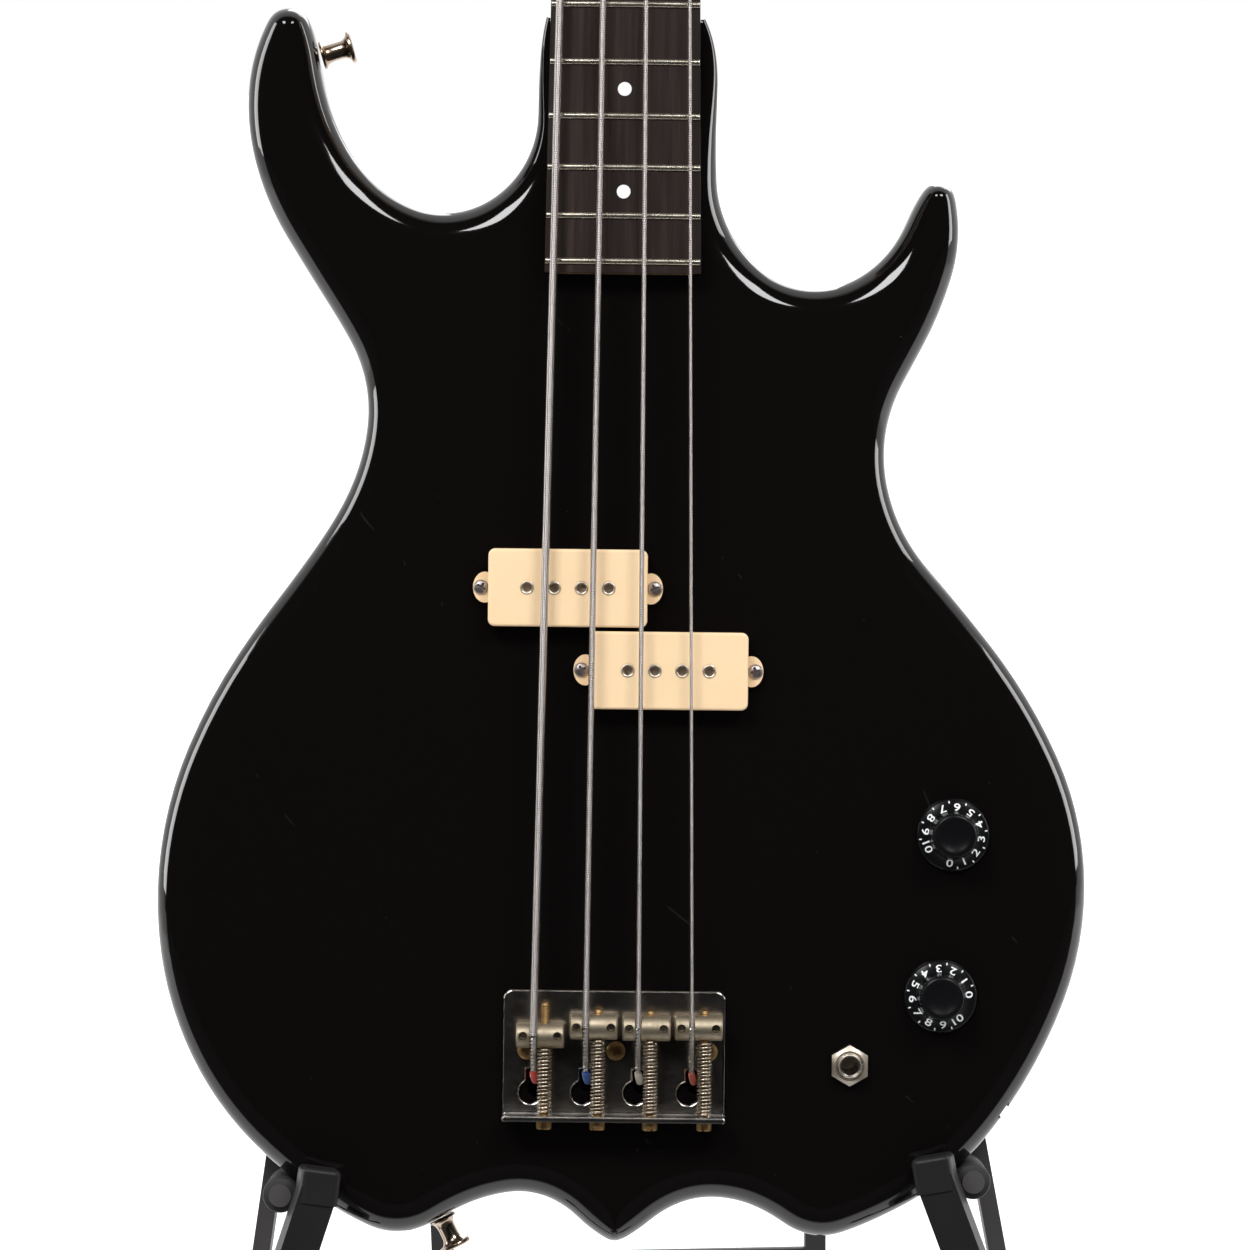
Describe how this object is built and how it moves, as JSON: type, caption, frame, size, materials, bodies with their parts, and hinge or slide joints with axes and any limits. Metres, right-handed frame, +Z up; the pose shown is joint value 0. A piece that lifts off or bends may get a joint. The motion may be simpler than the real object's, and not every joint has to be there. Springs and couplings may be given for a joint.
{
  "type": "electric bass guitar on folding stand",
  "caption": "Solid-body electric bass with a scalloped lower edge, split pickup and barrel-saddle bridge, resting on a folding A-frame stand with hooked arms.",
  "frame": {"origin": "centre of the bounding box on the floor under the stand", "axes": "+Z up, -Y out of the front of the bass, +X toward its thin strings"},
  "size_m": [0.3466, 0.3328, 1.3383],
  "materials": {
    "body_lacquer": "gloss",
    "neck_wood": "satin",
    "board_wood": "satin",
    "fret_metal": "polished",
    "pearl": "gloss",
    "bone": "satin",
    "steel": "machined",
    "string_metal": "wound",
    "nickel": "polished",
    "aged_nickel": "worn",
    "brass": "worn",
    "cream_plastic": "satin",
    "coil_tape": "matte",
    "knob_plastic": "gloss",
    "black_plastic": "matte",
    "stand_plastic": "satin",
    "stand_steel": "satin",
    "rubber": "matte"
  },
  "bodies": {
    "stand": {"left_leg": "stand_plastic", "right_leg": "stand_plastic", "cross_tube": "stand_steel", "back_rest": "rubber", "support_rollers": "rubber", "arm_pins": "steel", "front_feet": "rubber"},
    "rear_legs": {"rear_frame": "stand_plastic", "rear_feet": "rubber"},
    "left_arm": {"left_arm": "stand_plastic"},
    "right_arm": {"right_arm": "stand_plastic"},
    "bass": {"bass_body": "body_lacquer", "neck": "neck_wood", "truss_rod": "steel", "fretboard": "board_wood", "position_dots": "pearl", "frets": "fret_metal", "nut": "bone", "neck_plate": "nickel", "neck_screws": "nickel", "upper_pickup_cover": "cream_plastic", "lower_pickup_cover": "cream_plastic", "pickup_poles": "steel", "pickup_coils": "coil_tape", "pickup_screws": "nickel", "bridge_plate": "nickel", "bridge_screws": "brass", "saddles": "aged_nickel", "saddle_height_screws": "nickel", "intonation_screws": "brass", "saddle_springs": "nickel", "string_e": "string_metal", "string_a": "string_metal", "string_d": "string_metal", "string_g": "string_metal", "tuner_plates": "nickel", "tuner_screws": "nickel", "tuner_bushings": "nickel", "string_retainer": "nickel", "potentiometers": "steel", "pot_nuts": "nickel", "output_jack": "nickel", "jack_nut": "nickel", "tone_capacitor": "cream_plastic", "control_cover": "black_plastic", "cover_screws": "steel", "strap_buttons": "nickel"},
    "volume_control": {"volume_knob": "knob_plastic", "volume_shaft": "steel"},
    "tone_control": {"tone_knob": "knob_plastic", "tone_shaft": "steel"},
    "post_e": {"post_e": "nickel"},
    "key_e": {"key_e": "nickel"},
    "post_a": {"post_a": "nickel"},
    "key_a": {"key_a": "nickel"},
    "post_d": {"post_d": "nickel"},
    "key_d": {"key_d": "nickel"},
    "post_g": {"post_g": "nickel"},
    "key_g": {"key_g": "nickel"}
  },
  "joints": [
    {"name": "bass_lift_off", "type": "slide", "parent": "stand", "child": "bass", "axis": [0, 0.1736, 0.9848], "range_m": [0, 0.25]},
    {"name": "rear_leg_fold", "type": "hinge", "parent": "stand", "child": "rear_legs", "pos_m": [0, -0.04253, 0.44078], "axis": [-1, 0, 0], "range_deg": [0, 33]},
    {"name": "left_arm_swing", "type": "hinge", "parent": "stand", "child": "left_arm", "pos_m": [-0.14563, -0.11466, 0.13364], "axis": [-0.1616, -0.1714, -0.9719], "range_deg": [0, 90]},
    {"name": "right_arm_swing", "type": "hinge", "parent": "stand", "child": "right_arm", "pos_m": [0.14563, -0.11466, 0.13364], "axis": [-0.1616, 0.1714, 0.9719], "range_deg": [0, 90]},
    {"name": "volume_turn", "type": "hinge", "parent": "bass", "child": "volume_control", "pos_m": [0.11839, -0.11258, 0.36028], "axis": [0, -0.9848, 0.1736], "range_deg": [-22.5, 277.5]},
    {"name": "tone_turn", "type": "hinge", "parent": "bass", "child": "tone_control", "pos_m": [0.11284, -0.12252, 0.30389], "axis": [0, -0.9848, 0.1736], "range_deg": [-125, 175]},
    {"name": "post_e_turn", "type": "hinge", "parent": "bass", "child": "post_e", "pos_m": [0.00062, 0.05263, 1.19181], "axis": [0, -0.9848, 0.1736], "continuous": true},
    {"name": "key_e_turn", "type": "hinge", "parent": "bass", "child": "key_e", "pos_m": [0.00023, 0.0504, 1.17921], "axis": [-0.9995, 0.0053, 0.0301], "continuous": true},
    {"name": "post_a_turn", "type": "hinge", "parent": "bass", "child": "post_a", "pos_m": [0.00221, 0.06165, 1.243], "axis": [0, -0.9848, 0.1736], "continuous": true},
    {"name": "key_a_turn", "type": "hinge", "parent": "bass", "child": "key_a", "pos_m": [0.00182, 0.05943, 1.2304], "axis": [-0.9995, 0.0053, 0.0301], "continuous": true},
    {"name": "post_d_turn", "type": "hinge", "parent": "bass", "child": "post_d", "pos_m": [0.05019, 0.0614, 1.24156], "axis": [0, -0.9848, 0.1736], "continuous": true},
    {"name": "key_d_turn", "type": "hinge", "parent": "bass", "child": "key_d", "pos_m": [0.0498, 0.05918, 1.22896], "axis": [0.9995, -0.0053, -0.0301], "continuous": true},
    {"name": "post_g_turn", "type": "hinge", "parent": "bass", "child": "post_g", "pos_m": [0.0486, 0.05237, 1.19037], "axis": [0, -0.9848, 0.1736], "continuous": true},
    {"name": "key_g_turn", "type": "hinge", "parent": "bass", "child": "key_g", "pos_m": [0.04821, 0.05015, 1.17777], "axis": [0.9995, -0.0053, -0.0301], "continuous": true}
  ],
  "couplings": [
    {"joint": "post_e_turn", "follows": "key_e_turn", "ratio": 0.05},
    {"joint": "post_a_turn", "follows": "key_a_turn", "ratio": 0.05},
    {"joint": "post_d_turn", "follows": "key_d_turn", "ratio": 0.05},
    {"joint": "post_g_turn", "follows": "key_g_turn", "ratio": 0.05}
  ]
}
